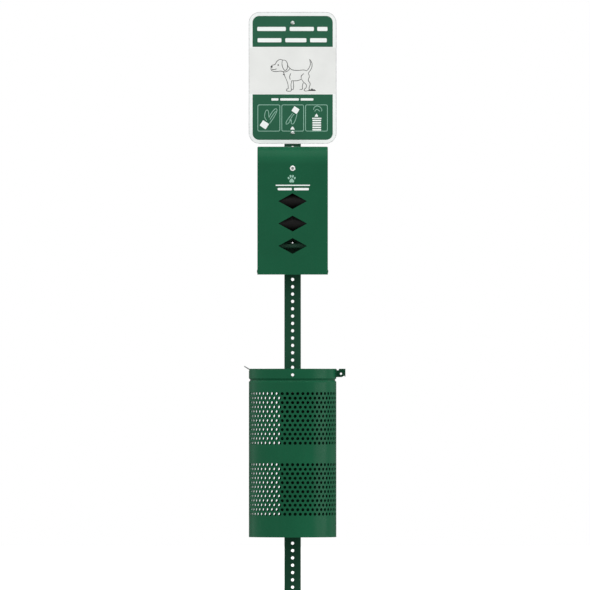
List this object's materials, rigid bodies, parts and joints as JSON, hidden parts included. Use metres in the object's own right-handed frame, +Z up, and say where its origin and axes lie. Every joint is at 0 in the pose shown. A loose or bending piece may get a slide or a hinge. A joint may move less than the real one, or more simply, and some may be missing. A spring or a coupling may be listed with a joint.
{
  "type": "dog waste station",
  "caption": "Square perforated post carrying a printed sign, a lockable roll-bag dispenser with diamond openings and a round perforated bin with a hinged lid.",
  "frame": {"origin": "centre line of the square post at ground level; the post goes 457.2 mm further down into the ground", "axes": "+Z up along the post, the sign, dispenser and bin face -Y, +X to the right of a person facing the station"},
  "size_m": [0.3506, 0.3761, 2.4638],
  "materials": {
    "post_green": "powder coat, satin",
    "body_green": "powder coat, satin",
    "sign_face": "painted sheet with printed panels",
    "zinc": "zinc plated",
    "lock_metal": "polished",
    "bag_film": "thin black film, rolled",
    "core_board": "card tube"
  },
  "bodies": {
    "station": {"post": "post_green", "sign_panel": "sign_face", "sign_bolts": "zinc", "sign_washers": "zinc", "sign_nuts": "zinc", "dispenser_housing": "body_green", "cover_hinge_rivets": "body_green", "dispenser_bolts": "zinc", "dispenser_washers": "zinc", "dispenser_nuts": "zinc", "lock_keeper": "zinc", "spindle_bracket_left": "zinc", "spindle_bracket_right": "zinc", "bracket_rivets": "zinc", "spindle_rods": "zinc", "rod_clips": "zinc", "bin_body": "body_green", "bin_floor": "body_green", "bin_bracket": "body_green", "bin_saddle_washers": "zinc", "bin_bolts": "zinc", "bin_washers": "zinc", "bin_nuts": "zinc", "hinge_ears": "body_green", "ear_rivets": "body_green", "hinge_pin": "body_green", "pin_clip": "zinc"},
    "dispenser_door": {"dispenser_cover": "body_green", "lock_body": "lock_metal", "lock_nut": "zinc"},
    "lock": {"lock_plug": "lock_metal", "lock_cam": "zinc", "cam_screw": "zinc"},
    "roll_top": {"roll_core_top": "core_board", "bag_roll_top": "bag_film"},
    "roll_middle": {"roll_core_middle": "core_board", "bag_roll_middle": "bag_film"},
    "roll_bottom": {"roll_core_bottom": "core_board", "bag_roll_bottom": "bag_film"},
    "bin_lid": {"lid_plate": "body_green", "lid_strap": "body_green", "strap_rivets": "body_green", "lid_pull": "zinc", "pull_clip": "zinc", "pull_rivets": "body_green"}
  },
  "joints": [
    {"name": "lid_hinge", "type": "hinge", "parent": "station", "child": "bin_lid", "pos_m": [0.1674, -0.18238, 0.7532], "axis": [0, 1, 0], "range_deg": [0, 110]},
    {"name": "cover_tilt", "type": "hinge", "parent": "station", "child": "dispenser_door", "pos_m": [0, -0.114, 1.1073], "axis": [1, 0, 0], "range_deg": [0, 95]},
    {"name": "lock_turn", "type": "hinge", "parent": "dispenser_door", "child": "lock", "pos_m": [0, -0.12857, 1.464], "axis": [0, 1, 0], "range_deg": [0, 90]},
    {"name": "roll_top_spin", "type": "hinge", "parent": "station", "child": "roll_top", "pos_m": [0, -0.09, 1.3504], "axis": [1, 0, 0], "continuous": true},
    {"name": "roll_middle_spin", "type": "hinge", "parent": "station", "child": "roll_middle", "pos_m": [0, -0.09, 1.2729], "axis": [1, 0, 0], "continuous": true},
    {"name": "roll_bottom_spin", "type": "hinge", "parent": "station", "child": "roll_bottom", "pos_m": [0, -0.09, 1.1954], "axis": [1, 0, 0], "continuous": true}
  ]
}
